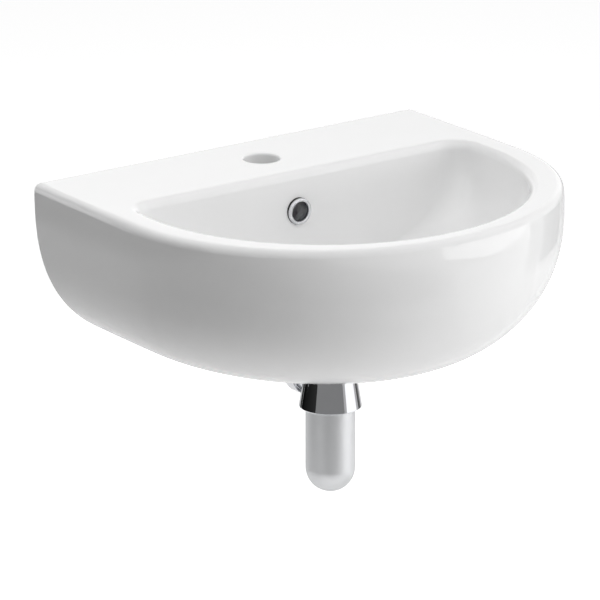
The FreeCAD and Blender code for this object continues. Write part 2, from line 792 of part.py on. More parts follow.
def make_trap_head():
    """Add the conical trap head with its outlet branch."""
    axis = ("0", "-waste_reach")
    cone = turned("head_cone", (
        ("0", "0"),
        ("head_foot_width / 2 - head_edge", "0"),
        ("head_foot_width / 2", "head_edge"),
        ("head_top_width / 2", "head_height"),
        ("0", "head_height"),
    ), (*axis, "head_level"))
    branch = primitive("Cylinder", "head_branch", (*axis, "outlet_level"), "back",
                       Radius="branch_width / 2", Height="branch_length")
    cup_socket = primitive("Cylinder", "head_cup_socket", (*axis, "head_level - overrun"),
                           Radius="cup_width / 2 + running_gap", Height="cup_socket_depth + overrun")
    chamber = primitive("Cylinder", "head_chamber", (*axis, "head_level"),
                        Radius="head_chamber_width / 2", Height="head_height - head_plate")
    inlet = primitive("Cylinder", "head_inlet", (*axis, "head_level"),
                      Radius="dip_width / 2 + slide_gap", Height="head_height + overrun")
    bore = primitive("Cylinder", "head_branch_bore", (*axis, "outlet_level"), "back",
                     Radius="branch_bore / 2", Height="branch_length + overrun")
    socket = primitive("Cylinder", "head_branch_socket",
                       ("0", "-branch_mouth - socket_depth", "outlet_level"), "back",
                       Radius="socket_bore / 2", Height="socket_depth + overrun")
    return [cut("trap_head", fused("head_blank", cone, branch), cup_socket, chamber, inlet, bore, socket)]


def make_trap_cup():
    """Add the round-bottomed cup and the flat seal on its rim."""
    axis = ("0", "-waste_reach")
    rise = "cup_seal_level - cup_centre + cup_width / 2"
    cup = turned("trap_cup", (
        ("0", "0", "dome"),
        ("cup_width / 2", "cup_width / 2"),
        ("cup_width / 2", rise),
        ("cup_width / 2 - cup_wall", rise),
        ("cup_width / 2 - cup_wall", "cup_width / 2", "dome"),
        ("0", "cup_wall"),
    ), (*axis, "cup_centre - cup_width / 2"))
    seal = ring("cup_seal", "cup_width", "cup_width - 2 * cup_seal_wall", "cup_seal_height",
                (*axis, "cup_seal_level"))
    return [cup, seal]


def make_outlet():
    """Add the compression nut, seal and slip ring that take a waste pipe."""
    seal = ring("outlet_seal", "branch_width", "outlet_mouth", "outlet_seal_length",
                ("0", "-branch_mouth", "outlet_level"), "back")
    slip = ring("outlet_slip_ring", "branch_width", "outlet_mouth", "slip_ring_length",
                ("0", "-slip_place", "outlet_level"), "back")
    nut = turned("outlet_nut", (
        ("branch_width / 2 + thread_gap", "0"),
        ("outlet_nut_width / 2 - nut_edge", "0"),
        ("outlet_nut_width / 2", "nut_edge"),
        ("outlet_nut_width / 2", "outlet_nut_length - nut_edge"),
        ("outlet_nut_width / 2 - nut_edge", "outlet_nut_length"),
        ("outlet_mouth / 2", "outlet_nut_length"),
        ("outlet_mouth / 2", "outlet_nut_length - outlet_shoulder"),
        ("branch_width / 2 + thread_gap", "outlet_nut_length - outlet_shoulder"),
    ), ("0", "-outlet_end - outlet_nut_length", "outlet_level"), "back")
    return [seal, slip, nut]


def check(nodes):
    """Stop unless every object was made and every sub-part is a valid solid."""
    for item in doc.Objects:
        if {"Invalid", "Error"} & set(item.State):
            raise RuntimeError(f"{item.Label} failed: {item.State}")
    for node in nodes:
        shape = node.Shape
        if shape.isNull() or not shape.isValid() or not shape.Solids:
            raise RuntimeError(f"{node.Label} is not a valid solid")
        print(f"{node.Label}: {len(shape.Solids)} solid, {shape.Volume / 1000:.2f} ml")


def main():
    """Build every sub-part, check them and write one STEP file each."""
    nodes = []
    for make in (make_ceramic, make_overflow_ring, make_waste, make_plug, make_trap_inlet,
                 make_trap_head, make_trap_cup, make_outlet):
        nodes.extend(make())
    doc.recompute()
    check(nodes)
    os.makedirs("parts", exist_ok=True)
    for node in nodes:
        node.Shape.exportStep(f"parts/{node.Label}.step")


main()
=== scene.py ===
"""Cloakroom basin: finishes, turned fittings, light and camera on its packed construction. Metres, +Z up."""
import json
import logging
import math
from dataclasses import dataclass, field
from enum import Enum
from typing import Callable

import bpy
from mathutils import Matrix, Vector


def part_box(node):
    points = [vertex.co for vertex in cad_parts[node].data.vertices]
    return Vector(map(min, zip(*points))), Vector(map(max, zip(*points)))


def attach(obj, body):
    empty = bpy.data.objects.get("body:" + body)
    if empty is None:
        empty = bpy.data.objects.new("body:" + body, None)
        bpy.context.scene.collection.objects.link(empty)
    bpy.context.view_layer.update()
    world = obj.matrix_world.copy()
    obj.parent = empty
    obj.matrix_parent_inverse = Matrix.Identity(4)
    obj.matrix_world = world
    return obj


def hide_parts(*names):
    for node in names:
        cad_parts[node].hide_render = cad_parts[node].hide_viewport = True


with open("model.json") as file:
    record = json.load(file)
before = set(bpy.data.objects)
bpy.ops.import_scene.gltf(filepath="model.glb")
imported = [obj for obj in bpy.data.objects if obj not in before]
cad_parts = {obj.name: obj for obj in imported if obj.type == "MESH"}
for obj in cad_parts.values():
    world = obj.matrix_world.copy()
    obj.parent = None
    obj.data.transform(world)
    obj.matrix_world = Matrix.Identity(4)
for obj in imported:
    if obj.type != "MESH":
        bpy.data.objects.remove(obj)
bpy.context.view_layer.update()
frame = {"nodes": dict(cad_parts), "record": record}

LOG = logging.getLogger("cloakroom_basin")
MM = 0.001

# Blender's Mix node names its sockets alike for every kind of data, so they are told apart by number.
FLOAT_A, FLOAT_B, FLOAT_OUT = 2, 3, 0
COLOUR_A, COLOUR_B, COLOUR_OUT = 6, 7, 2
# Blender's wave texture draws this many bands in a unit of length at a scale of 1.
WAVE_BANDS = 20 / (2 * math.pi)

# How meshes are closed, rounded and shaded.
MERGE_GAP = 0.001 * MM
BEVEL_STEPS = 4
BEVEL_ANGLE = math.radians(35)
SMOOTH_ANGLE = math.radians(30)
ROUND_STEPS = 96
FINE_STEPS = 128


class Slot(str, Enum):
    """Material slots of the record."""

    GLAZE = "white_glaze"
    CHROME = "bright_chrome"
    SATIN = "satin_chrome"
    RUBBER = "black_rubber"
    PLASTIC = "white_plastic"
    BRASS = "bare_brass"
    SPRING = "spring_steel"


class Body(str, Enum):
    """Bodies of the record that new pieces ride on."""

    BASIN = "basin"
    PLUG = "plug"


class Axis(Enum):
    """Turning axes, as the rotation that lays +Z along them."""

    UP = (0.0, 0.0, 0.0)
    BACK = (-math.pi / 2, 0.0, 0.0)


def linear(code: str) -> tuple[float, float, float, float]:
    """Turn an sRGB hex colour into linear values.

    Args:
        code: Six hex digits after a hash.

    Returns:
        Linear red, green, blue and an alpha of 1.
    """
    parts = [int(code[place:place + 2], 16) / 255 for place in (1, 3, 5)]
    red, green, blue = (
        part / 12.92 if part <= 0.04045 else ((part + 0.055) / 1.055) ** 2.4 for part in parts
    )
    return red, green, blue, 1.0


def add_node(tree: bpy.types.NodeTree, kind: str, settings: dict | None = None,
             links: dict | None = None) -> bpy.types.Node:
    """Add one node with its settings and links.

    Args:
        tree: The node tree that gets the node.
        kind: Blender's name of the node type.
        settings: Values by property name, or by input socket's name or number.
        links: Output sockets by the name or number of the input that they feed.

    Returns:
        The new node.
    """
    node = tree.nodes.new(kind)
    for key, setting in (settings or {}).items():
        if isinstance(key, str) and hasattr(node, key):
            setattr(node, key, setting)
        else:
            node.inputs[key].default_value = setting
    for key, output in (links or {}).items():
        tree.links.new(output, node.inputs[key])
    return node


def empty_tree(owner: bpy.types.Material | bpy.types.World) -> bpy.types.NodeTree:
    """Switch an owner to nodes and clear them.

    Args:
        owner: The new material or world.

    Returns:
        Its node tree, with no nodes.
    """
    owner.use_nodes = True
    owner.node_tree.nodes.clear()
    return owner.node_tree


def per_metre(millimetres: float) -> float:
    """Return the texture scale whose features are about this many millimetres apart."""
    return 1 / (millimetres * MM)


@dataclass(frozen=True)
class Finish:
    """A name, a colour with a darker partner, a gloss, and patches and a relief in millimetres."""

    name: str
    colour: str
    partner: str
    roughness: float
    spread: float
    patch: float = 12.0
    depth: float = 0.02
    strength: float = 0.12

    def start(self) -> tuple[bpy.types.Material, bpy.types.NodeTree, bpy.types.NodeSocket]:
        """Make an empty material.

        Returns:
            The material, its node tree and its Object coordinates.
        """
        material = bpy.data.materials.new(self.name)
        tree = empty_tree(material)
        return material, tree, add_node(tree, "ShaderNodeTexCoord").outputs["Object"]

    def mottle(self, tree: bpy.types.NodeTree, where: bpy.types.NodeSocket
               ) -> tuple[bpy.types.NodeSocket, bpy.types.NodeSocket]:
        """Add soft patches of colour and gloss.

        Args:
            tree: The node tree of the finish.
            where: The coordinates that the patches follow.

        Returns:
            The colour and the roughness.
        """
        noise = add_node(tree, "ShaderNodeTexNoise",
                         {"Scale": per_metre(self.patch), "Detail": 3.0, "Roughness": 0.55},
                         {"Vector": where})
        colour = add_node(tree, "ShaderNodeMix", {
            "data_type": "RGBA", COLOUR_A: linear(self.colour), COLOUR_B: linear(self.partner)},
            {"Factor": noise.outputs["Fac"]})
        gloss = add_node(tree, "ShaderNodeMapRange", {
            "To Min": max(self.roughness - self.spread, 0.0), "To Max": self.roughness + self.spread},
            {"Value": noise.outputs["Fac"]})
        return colour.outputs[COLOUR_OUT], gloss.outputs["Result"]

    def close(self, tree: bpy.types.NodeTree, settings: dict, colour: bpy.types.NodeSocket,
              gloss: bpy.types.NodeSocket, height: bpy.types.NodeSocket) -> None:
        """Add the relief, the principled shader and the output.

        Args:
            tree: The node tree of the finish.
            settings: Constants of the shader's sockets.
            colour: The base colour.
            gloss: The roughness.
            height: The height of the relief, from 0 to 1.
        """
        bump = add_node(tree, "ShaderNodeBump", {"Strength": self.strength, "Distance": self.depth * MM},
                        {"Height": height})
        shader = add_node(tree, "ShaderNodeBsdfPrincipled", settings, {
            "Base Color": colour, "Roughness": gloss, "Normal": bump.outputs[0]})
        add_node(tree, "ShaderNodeOutputMaterial", links={"Surface": shader.outputs["BSDF"]})


@dataclass(frozen=True)
class SanitaryGlaze(Finish):
    """White glaze on vitreous china, bare where the casting meets the wall and stood in the kiln.

    The wipes say how far from the wall face and from the foot the bare ware starts and is whole.
    """

    # A glaze pools in soft patches some 70 mm across, which shifts its white a little.
    patch: float = 70.0
    # The melted surface runs in long shallow waves, a few hundredths of a millimetre deep.
    wave: float = 22.0
    depth: float = 0.05
    strength: float = 0.35
    ior: float = 1.52
    # Kiln-fired clay is dull, with a sandy grain just under a millimetre.
    bisque: str = "#D8D0C2"
    bisque_partner: str = "#C6BCAA"
    bisque_roughness: float = 0.85
    grit: float = 0.9
    foot: float = -103.0
    foot_wipe: tuple[float, float] = (1.6, 0.6)
    wall_wipe: tuple[float, float] = (1.0, 0.4)

    def make(self) -> bpy.types.Material:
        """Make the glaze: glassy, very slightly wavy, with bare bisque at the wall face and foot.

        Returns:
            The material.
        """
        material, tree, where = self.start()
        colour, gloss = self.mottle(tree, where)
        place = add_node(tree, "ShaderNodeSeparateXYZ", links={"Vector": where})
        wall = add_node(tree, "ShaderNodeMapRange", {
            "From Min": -self.wall_wipe[0] * MM, "From Max": -self.wall_wipe[1] * MM},
            {"Value": place.outputs["Y"]})
        foot = add_node(tree, "ShaderNodeMapRange", {
            "From Min": (self.foot + self.foot_wipe[0]) * MM,
            "From Max": (self.foot + self.foot_wipe[1]) * MM}, {"Value": place.outputs["Z"]})
        bare = add_node(tree, "ShaderNodeMath", {"operation": "MAXIMUM"},
                        {0: wall.outputs["Result"], 1: foot.outputs["Result"]}).outputs[0]
        sand = add_node(tree, "ShaderNodeTexNoise", {"Scale": per_metre(self.grit), "Detail": 4.0},
                        {"Vector": where}).outputs["Fac"]
        clay = add_node(tree, "ShaderNodeMix", {
            "data_type": "RGBA", COLOUR_A: linear(self.bisque), COLOUR_B: linear(self.bisque_partner)},
            {"Factor": sand})
        tint = add_node(tree, "ShaderNodeMix", {"data_type": "RGBA"}, {
            "Factor": bare, COLOUR_A: colour, COLOUR_B: clay.outputs[COLOUR_OUT]})
        dull = add_node(tree, "ShaderNodeMix", {FLOAT_B: self.bisque_roughness},
                        {"Factor": bare, FLOAT_A: gloss})
        wave = add_node(tree, "ShaderNodeTexNoise", {"Scale": per_metre(self.wave), "Detail": 1.0},
                        {"Vector": where})
        relief = add_node(tree, "ShaderNodeMix", links={
            "Factor": bare, FLOAT_A: wave.outputs["Fac"], FLOAT_B: sand})
        self.close(tree, {"IOR": self.ior}, tint.outputs[COLOUR_OUT], dull.outputs[FLOAT_OUT],
                   relief.outputs[FLOAT_OUT])
        return material


@dataclass(frozen=True)
class PolishedPlate(Finish):
    """Bright chrome plated on buffed brass."""

    # Buffing leaves fine lines round the piece; they are a tenth of this in life, too fine to show.
    buff: float = 1.4
    stretch: tuple[float, float, float] = (0.05, 0.05, 1.0)
    depth: float = 0.004

    def make(self) -> bpy.types.Material:
        """Make the plate: a mirror with faint buffing lines and soft haze.

        Returns:
            The material.
        """
        material, tree, where = self.start()
        colour, gloss = self.mottle(tree, where)
        lines = add_node(tree, "ShaderNodeMapping", {"Scale": self.stretch}, {"Vector": where})
        marks = add_node(tree, "ShaderNodeTexNoise", {"Scale": per_metre(self.buff), "Detail": 2.0},
                         {"Vector": lines.outputs[0]})
        self.close(tree, {"Metallic": 1.0}, colour, gloss, marks.outputs["Fac"])
        return material


@dataclass(frozen=True)
class SatinPlate(Finish):
    """Satin chrome plated on a fine blasted cup."""

    patch: float = 16.0
    # Blasting pits are about 0.1 mm; they are drawn eight times as coarse so that they show.
    grain: float = 0.8

    def make(self) -> bpy.types.Material:
        """Make the plate: a soft even sheen with a fine blasted grain.

        Returns:
            The material.
        """
        material, tree, where = self.start()
        colour, gloss = self.mottle(tree, where)
        pits = add_node(tree, "ShaderNodeTexNoise", {"Scale": per_metre(self.grain), "Detail": 3.0},
                        {"Vector": where})
        self.close(tree, {"Metallic": 1.0}, colour, gloss, pits.outputs["Fac"])
        return material


@dataclass(frozen=True)
class Moulded(Finish):
    """A moulded rubber or plastic with the fine texture of its mould."""

    patch: float = 9.0
    # A spark-eroded mould leaves a grain of half a millimetre or so.
    grain: float = 0.5
    depth: float = 0.03
    strength: float = 0.4
    ior: float = 1.5

    def make(self) -> bpy.types.Material:
        """Make the moulding: dull, slightly uneven, with the grain of its mould.

        Returns:
            The material.
        """
        material, tree, where = self.start()
        colour, gloss = self.mottle(tree, where)
        grain = add_node(tree, "ShaderNodeTexVoronoi", {"Scale": per_metre(self.grain)},
                         {"Vector": where})
        self.close(tree, {"IOR": self.ior}, colour, gloss, grain.outputs["Distance"])
        return material


@dataclass(frozen=True)
class ToolMarked(Finish):
    """Bare metal with the marks of the lathe or of the drawing die."""

    patch: float = 6.0
    # Tool marks are about 0.1 mm apart in life; they are drawn a few millimetres apart to show.
    pitch: float = 3.77
    strength: float = 0.5

    def make(self) -> bpy.types.Material:
        """Make the metal: bands of tool marks along its axis over soft stains.

        Returns:
            The material.
        """
        material, tree, where = self.start()
        colour, gloss = self.mottle(tree, where)
        bands = add_node(tree, "ShaderNodeTexWave", {
            "bands_direction": "Z", "Scale": per_metre(self.pitch) / WAVE_BANDS, "Distortion": 0.6},
            {"Vector": where})
        self.close(tree, {"Metallic": 1.0}, colour, gloss, bands.outputs["Fac"])
        return material


FINISHES = {
    # Vitreous china under a clear-on-white glaze: a bright, neutral white with a glassy skin.
    Slot.GLAZE: SanitaryGlaze("glazed_vitreous_china", "#F4F4F4", "#F1F1F1", 0.03, 0.01),
    # Decorative chrome on brass: a neutral mirror that takes its tones from what stands round it.
    Slot.CHROME: PolishedPlate("bright_chrome_plate", "#E2E3E5", "#DCDDE0", 0.03, 0.015),
    # The same plate on a blasted cup: the mirror spreads to a soft grey sheen.
    Slot.SATIN: SatinPlate("satin_chrome_plate", "#DADBDC", "#D2D3D5", 0.3, 0.03),
    # Black nitrile rubber: matt, with the grain of its mould.
    Slot.RUBBER: Moulded("moulded_nitrile_rubber", "#1D1D1C", "#262625", 0.62, 0.08),
    # White acetal: slightly waxy, off-white.
    Slot.PLASTIC: Moulded("moulded_white_acetal", "#E9E8E3", "#E1E0DA", 0.36, 0.06,
                          grain=0.7, depth=0.015, ior=1.48),
    # Free-cutting brass straight off the lathe.
    Slot.BRASS: ToolMarked("turned_brass", "#D2AE62", "#B98F45", 0.26, 0.06),
    # Stainless spring wire, drawn and lightly oiled.
    Slot.SPRING: ToolMarked("drawn_spring_wire", "#B4B4B1", "#94948F", 0.3, 0.08,
                            pitch=6.283, depth=0.01),
}
MATERIALS: dict[Slot, bpy.types.Material] = {}


def paint(piece: bpy.types.Object, slot: Slot) -> None:
    """Give a piece the finish of a slot, made on first use.

    Args:
        piece: The new piece or CAD node.
        slot: The slot of its finish.
    """
    if slot not in MATERIALS:
        MATERIALS[slot] = FINISHES[slot].make()
    piece.data.materials.clear()
    piece.data.materials.append(MATERIALS[slot])


def dress(piece: bpy.types.Object, slot: Slot, body: Body, node: str) -> bpy.types.Object:
    """Let a new piece stand for a node.

    Args:
        piece: The new piece.
        slot: The slot of its finish.
        body: The body that it rides on.
        node: The node that it stands for.

    Returns:
        The piece.
    """
    paint(piece, slot)
    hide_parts(node)
    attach(piece, body.value)
    return piece


def choose_faces(piece: bpy.types.Object, test: Callable[[bpy.types.MeshPolygon], bool]) -> None:
    """Select the faces of the piece in edit mode that pass a test, and no others.

    Args:
        piece: The object in edit mode.
        test: Tells of a face whether it is wanted.
    """
    bpy.ops.mesh.select_mode(type="FACE")
    bpy.ops.mesh.select_all(action="DESELECT")
    bpy.ops.object.mode_set(mode="OBJECT")
    for face in piece.data.polygons:
        face.select = test(face)
    bpy.ops.object.mode_set(mode="EDIT")


def close_mesh() -> None:
    """Merge the doubles of the piece in edit mode and turn its faces outwards."""
    bpy.ops.mesh.select_all(action="SELECT")
    bpy.ops.mesh.remove_doubles(threshold=MERGE_GAP)
    bpy.ops.mesh.normals_make_consistent(inside=False)


def finish_piece(piece: bpy.types.Object, name: str, edge: float) -> bpy.types.Object:
    """Close a piece in edit mode, round its edges and shade it.

    Args:
        piece: The object in edit mode.
        name: Its name.
        edge: The radius of its edges in millimetres.

    Returns:
        The same object, in object mode.
    """
    close_mesh()
    bpy.ops.object.mode_set(mode="OBJECT")
    piece.name = piece.data.name = name
    bevel = piece.modifiers.new("edges", "BEVEL")
    bevel.width = edge * MM
    bevel.segments = BEVEL_STEPS
    bevel.limit_method = "ANGLE"
    bevel.angle_limit = BEVEL_ANGLE
    bpy.ops.object.modifier_apply(modifier=bevel.name)
    bpy.ops.object.shade_smooth_by_angle(angle=SMOOTH_ANGLE)
    return piece


def seat_of(box: tuple, axis: Axis) -> tuple[float, float, float]:
    """Find where a round piece starts on its axis.

    Args:
        box: The low and high corners of the node that it stands for.
        axis: The axis that it is turned on.

    Returns:
        The middle of the box's lower or front face, on the basin's middle plane.
    """
    low, high = box
    if axis is Axis.BACK:
        return 0.0, low[1], (low[2] + high[2]) / 2
    return 0.0, (low[1] + high[1]) / 2, low[2]


@dataclass
class Turning:
    """A piece turned from a half profile of radius and height in millimetres above its seat."""

    name: str
    profile: tuple[tuple[float, float], ...]
    edge: float
    axis: Axis = Axis.UP
    steps: int = ROUND_STEPS
    crowned: bool = False

    def shape(self) -> bpy.types.Object:
        """Draw the profile's rings one after another.

        Returns:
            The piece in edit mode: closed on itself, or from a filled foot to a crown.
        """
        bpy.ops.object.select_all(action="DESELECT")
        radius, height = self.profile[0]
        bpy.ops.mesh.primitive_circle_add(vertices=self.steps, radius=radius * MM)
        piece = bpy.context.object
        bpy.ops.object.mode_set(mode="EDIT")
        bpy.ops.mesh.select_mode(type="EDGE")
        bpy.ops.mesh.select_all(action="SELECT")
        if self.crowned:
            bpy.ops.mesh.edge_face_add()
        bpy.ops.transform.translate(value=(0, 0, height * MM))
        rings = self.profile[1:] if self.crowned else self.profile[1:] + self.profile[:1]
        for wider, higher in rings:
            bpy.ops.mesh.extrude_region_move(
                TRANSFORM_OT_translate={"value": (0, 0, (higher - height) * MM)})
            growth = wider / radius
            bpy.ops.transform.resize(value=(growth, growth, 1), center_override=(0, 0, higher * MM))
            radius, height = wider, higher
        return piece

    def build(self, seat: tuple[float, float, float]) -> bpy.types.Object:
        """Shape the piece, finish it and set it in its seat.

        Args:
            seat: Where the profile's axis meets its height of 0, in metres.

        Returns:
            The finished piece.
        """
        piece = finish_piece(self.shape(), self.name, self.edge)
        piece.rotation_euler = self.axis.value
        piece.location = seat
        bpy.ops.object.transform_apply(location=True, rotation=True, scale=True)
        return piece


@dataclass
class FlutedTurning(Turning):
    """A turned nut with grip flutes sunk into its outer wall."""

    flutes: int = 24
    flute_share: float = 0.5
    sink: float = 0.6
    border: float = 0.4
    wall_gap: float = 0.01
    wall_tilt: float = 0.1

    def shape(self) -> bpy.types.Object:
        """Draw the nut and sink every other strip of its wall.

        Returns:
            The piece in edit mode.
        """
        piece = super().shape()
        close_mesh()
        reach = max(radius for radius, _ in self.profile) * MM * math.cos(math.pi / self.steps)

        def grip(face: bpy.types.MeshPolygon) -> bool:
            """Tell whether a face lies on a flute of the outer wall.

            Args:
                face: A face of the nut.

            Returns:
                True if it does.
            """
            turn = math.atan2(face.center.y, face.center.x) / (2 * math.pi) % 1
            outer = math.hypot(face.center.x, face.center.y) > reach - self.wall_gap * MM
            upright = abs(face.normal.z) < self.wall_tilt
            return outer and upright and turn * self.flutes % 1 < self.flute_share

        choose_faces(piece, grip)
        bpy.ops.mesh.inset(thickness=self.border * MM, depth=-self.sink * MM)
        return piece


@dataclass
class Overflow:
    """The chrome ring that lines the overflow hole, with a black rubber gasket under its lip, which also
    paints the dark shade in the gap round the ring.

    The rounds are steps out from the mouth and in from the rim, each with its height.
    """

    mouth: float = 9.7
    width: float = 13.0
    lip: float = 2.6
    sleeve: float = 10.9
    seat: float = 6.0
    length: float = 15.0
    recess: float = 0.15
    ring_edge: float = 0.25
    shade_gasket_edge: float = 0.3
    mouth_round: tuple[tuple[float, float], ...] = ((0.0, 1.0), (0.4, 0.3), (1.1, 0.0))
    rim_round: tuple[tuple[float, float], ...] = ((1.2, 0.05), (0.5, 0.35), (0.1, 1.0))

    def build(self) -> list[bpy.types.Object]:
        """Build the ring with a rounded lip, and its black gasket, which also stands in for the shade round
        the ring.

        Returns:
            The ring, and the gasket with its painted shade.
        """
        place = seat_of(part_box("overflow_ring"), Axis.BACK)
        profile = (
            *((self.mouth + step, height) for step, height in self.mouth_round),
            *((self.width - step, height) for step, height in self.rim_round),
            (self.width, self.lip), (self.sleeve, self.lip), (self.sleeve, self.length),
            (self.mouth, self.length),
        )
        ring = Turning("overflow_lining", profile, self.ring_edge, Axis.BACK, FINE_STEPS).build(place)
        # The black rubber gasket behind the lip also paints the dark shade in the gap round the ring.
        rubber = self.width - self.recess
        inside = self.sleeve + self.recess
        shade_gasket = Turning("overflow_gasket_painted_shade", (
            (inside, self.lip), (rubber, self.lip), (rubber, self.seat), (inside, self.seat),
        ), self.shade_gasket_edge, Axis.BACK, FINE_STEPS).build(place)
        return [dress(ring, Slot.CHROME, Body.BASIN, "overflow_ring"),
                dress(shade_gasket, Slot.RUBBER, Body.BASIN, "overflow_ring")]


@dataclass
class Waste:
    """The plug in the waste and the nut under the boss."""

    plug: float = 30.0
    neck: float = 16.0
    foot: float = 2.0
    neck_height: float = 8.0
    bore: float = 4.08
    bore_height: float = 6.0
    rim: float = 2.5
    crown: float = 4.0
    crown_rings: int = 10
    crown_tip: float = 0.3
    plug_edge: float = 0.9
    nut_sides: int = 6
    nut_corner: float = 30.0
    nut_bore: float = 21.15
    nut_edge: float = 1.0

    def build_plug(self) -> bpy.types.Object:
        """Build the plug with a shallow dome and a rounded rim.

        Returns:
            The plug.
        """
        shoulder = self.neck_height + self.rim
        dome = (self.plug**2 + self.crown**2) / (2 * self.crown)
        rings = [self.plug * (1 - step / self.crown_rings) for step in range(self.crown_rings)]
        profile = [
            (self.bore, self.bore_height), (self.bore, 0.0), (self.neck + self.foot, 0.0),
            (self.neck + self.foot, self.foot), (self.neck, self.foot), (self.neck, self.neck_height),
            (self.plug, self.neck_height),
        ]
        profile += [(radius, shoulder + math.sqrt(dome**2 - radius**2) - dome + self.crown)
                    for radius in rings]
        profile.append((self.crown_tip, shoulder + self.crown))
        piece = Turning("plug_dome", tuple(profile), self.plug_edge, crowned=True).build(
            seat_of(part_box("plug_cap"), Axis.UP))
        return dress(piece, Slot.CHROME, Body.PLUG, "plug_cap")

    def build_nut(self) -> bpy.types.Object:
        """Build the six-sided nut: a hexagon bridged to its bore, raised and chamfered.

        Returns:
            The nut.
        """
        low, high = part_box("waste_backnut")
        half_side = (0, 0, math.pi / self.nut_sides)
        bpy.ops.object.select_all(action="DESELECT")
        bpy.ops.mesh.primitive_circle_add(vertices=self.nut_sides, radius=self.nut_corner * MM,
                                          rotation=half_side)
        piece = bpy.context.object
        bpy.ops.object.mode_set(mode="EDIT")
        bpy.ops.mesh.select_mode(type="EDGE")
        bpy.ops.mesh.select_all(action="SELECT")
        bpy.ops.mesh.subdivide(number_cuts=ROUND_STEPS // self.nut_sides - 1)
        bpy.ops.mesh.primitive_circle_add(vertices=ROUND_STEPS, radius=self.nut_bore * MM,
                                          rotation=half_side)
        bpy.ops.mesh.select_all(action="SELECT")
        bpy.ops.mesh.bridge_edge_loops()
        bpy.ops.mesh.select_all(action="SELECT")
        bpy.ops.mesh.extrude_region_move(
            TRANSFORM_OT_translate={"value": (0, 0, high[2] - low[2])})
        finish_piece(piece, "waste_hexagon_nut", self.nut_edge)
        piece.location = seat_of((low, high), Axis.UP)
        bpy.ops.object.transform_apply(location=True, rotation=True, scale=True)
        return dress(piece, Slot.PLASTIC, Body.BASIN, "waste_backnut")

    def build(self) -> list[bpy.types.Object]:
        """Build the plug and the nut, and return them."""
        return [self.build_plug(), self.build_nut()]


@dataclass
class Trap:
    """The two hand nuts of the bottle trap."""

    inlet: float = 25.0
    inlet_height: float = 21.0
    inlet_bore: float = 21.15
    inlet_mouth: float = 16.3
    inlet_shoulder: float = 3.0
    inlet_edge: float = 0.5
    outlet: float = 24.0
    outlet_length: float = 14.5
    outlet_bore: float = 20.15
    outlet_mouth: float = 16.6
    outlet_shoulder: float = 2.5
    outlet_edge: float = 1.1

    def build_inlet(self) -> bpy.types.Object:
        """Build the fluted nut that hangs the trap on the waste.

        Returns:
            The nut.
        """
        profile = (
            (self.inlet_mouth, 0.0), (self.inlet, 0.0), (self.inlet, self.inlet_height),
            (self.inlet_bore, self.inlet_height), (self.inlet_bore, self.inlet_shoulder),
            (self.inlet_mouth, self.inlet_shoulder),
        )
        nut = FlutedTurning("trap_grip_nut", profile, self.inlet_edge).build(
            seat_of(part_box("trap_inlet_nut"), Axis.UP))
        return dress(nut, Slot.CHROME, Body.BASIN, "trap_inlet_nut")

    def build_outlet(self) -> bpy.types.Object:
        """Build the smooth nut of the outlet.

        Returns:
            The nut.
        """
        inner = self.outlet_length - self.outlet_shoulder
        profile = (
            (self.outlet_bore, 0.0), (self.outlet, 0.0), (self.outlet, self.outlet_length),
            (self.outlet_mouth, self.outlet_length), (self.outlet_mouth, inner),
            (self.outlet_bore, inner),
        )
        nut = Turning("outlet_round_nut", profile, self.outlet_edge, Axis.BACK, FINE_STEPS).build(
            seat_of(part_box("outlet_nut"), Axis.BACK))
        return dress(nut, Slot.CHROME, Body.BASIN, "outlet_nut")

    def build(self) -> list[bpy.types.Object]:
        """Build both nuts, and return them."""
        return [self.build_inlet(), self.build_outlet()]


@dataclass(frozen=True)
class Softbox:
    """A rectangular light, placed by its direction from the basin in degrees."""

    name: str
    azimuth: float
    elevation: float
    distance: float
    size: tuple[float, float]
    radiance: float
    mirrored: bool = False


@dataclass(frozen=True)
class Panel:
    """An upright card or flag that only shows in reflections.

    Its ends run from a foot to a head, in metres above the origin. The near end is the one at the smaller
    azimuth. Below its hem a panel fades to the floor's shade.
    """

    name: str
    azimuth: float
    distance: float
    width: float
    near: tuple[float, float]
    far: tuple[float, float]
    shades: tuple[float, float]
    hem: float = -0.78


